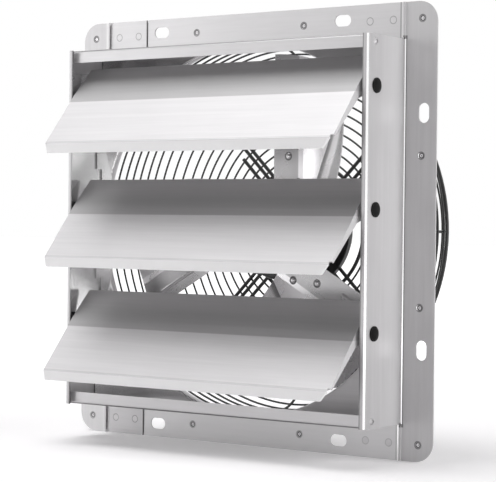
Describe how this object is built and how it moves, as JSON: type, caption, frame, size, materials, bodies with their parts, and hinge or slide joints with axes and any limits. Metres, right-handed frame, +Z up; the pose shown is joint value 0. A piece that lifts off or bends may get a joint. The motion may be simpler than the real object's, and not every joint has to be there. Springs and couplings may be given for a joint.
{
  "type": "window exhaust fan",
  "caption": "Square flanged exhaust fan with hinged gravity louvers, a riveted sheet-metal propeller, a motor and a domed wire guard.",
  "frame": {"origin": "centre of the four horizontal mounting slots, on the flange face that seats on the wall", "axes": "+Z up, +X to the right seen from the louver side, +Y towards the wire guard (room side); air leaves towards -Y"},
  "size_m": [0.368, 0.1855, 0.368],
  "materials": {
    "housing_aluminium": "satin brushed sheet",
    "panel_aluminium": "satin mill finish sheet",
    "louver_aluminium": "satin anodised sheet",
    "blade_aluminium": "satin rolled sheet",
    "zinc_steel": "zinc plated",
    "rivet_aluminium": "smooth",
    "bright_steel": "machined",
    "black_nylon": "fine grain",
    "black_wire": "black powder coat",
    "black_motor": "semi-gloss black paint",
    "core_steel": "stacked laminations",
    "coil_copper": "varnished copper wire"
  },
  "bodies": {
    "frame": {"left_rail": "housing_aluminium", "right_rail": "housing_aluminium", "top_rail": "housing_aluminium", "bottom_rail": "housing_aluminium", "splice_plates": "housing_aluminium", "corner_gussets": "housing_aluminium", "orifice_panel": "panel_aluminium", "corner_rivets": "rivet_aluminium", "corner_screws": "zinc_steel", "guard_screws": "zinc_steel", "flange_nuts": "zinc_steel", "housing_screws": "zinc_steel", "pivot_bushings": "black_nylon", "pivot_caps": "black_nylon", "guard_side_rings": "black_wire", "guard_back_rings": "black_wire", "guard_center_ring": "black_wire", "guard_rods": "black_wire", "guard_stays": "black_wire", "guard_spreaders": "black_wire", "guard_feet": "black_wire", "motor_plate": "black_motor", "motor_bolts": "zinc_steel", "motor_rear_bell": "black_motor", "motor_can": "black_motor", "motor_front_bell": "black_motor", "stator_core": "core_steel", "stator_coils": "coil_copper", "front_bearing": "bright_steel", "rear_bearing": "bright_steel", "cable_gland": "black_nylon"},
    "top_louver": {"top_louver": "louver_aluminium", "top_louver_pins": "zinc_steel"},
    "middle_louver": {"middle_louver": "louver_aluminium", "middle_louver_pins": "zinc_steel"},
    "bottom_louver": {"bottom_louver": "louver_aluminium", "bottom_louver_pins": "zinc_steel"},
    "fan": {"rotor_core": "core_steel", "motor_shaft": "bright_steel", "hub": "bright_steel", "hub_set_screw": "zinc_steel", "hub_rivets": "rivet_aluminium", "spider": "bright_steel", "blade_1": "blade_aluminium", "blade_2": "blade_aluminium", "blade_3": "blade_aluminium", "blade_rivets": "rivet_aluminium"}
  },
  "joints": [
    {"name": "top_louver_pivot", "type": "hinge", "parent": "frame", "child": "top_louver", "pos_m": [0, -0.0432, 0.1143], "axis": [1, 0, 0], "range_deg": [-25, 35.5]},
    {"name": "middle_louver_pivot", "type": "hinge", "parent": "frame", "child": "middle_louver", "pos_m": [0, -0.0432, 0.0171], "axis": [1, 0, 0], "range_deg": [-25, 35.5]},
    {"name": "bottom_louver_pivot", "type": "hinge", "parent": "frame", "child": "bottom_louver", "pos_m": [0, -0.0432, -0.0801], "axis": [1, 0, 0], "range_deg": [-25, 35.5]},
    {"name": "fan_spin", "type": "hinge", "parent": "frame", "child": "fan", "pos_m": [0, 0.0391, 0], "axis": [0, -1, 0], "continuous": true}
  ]
}
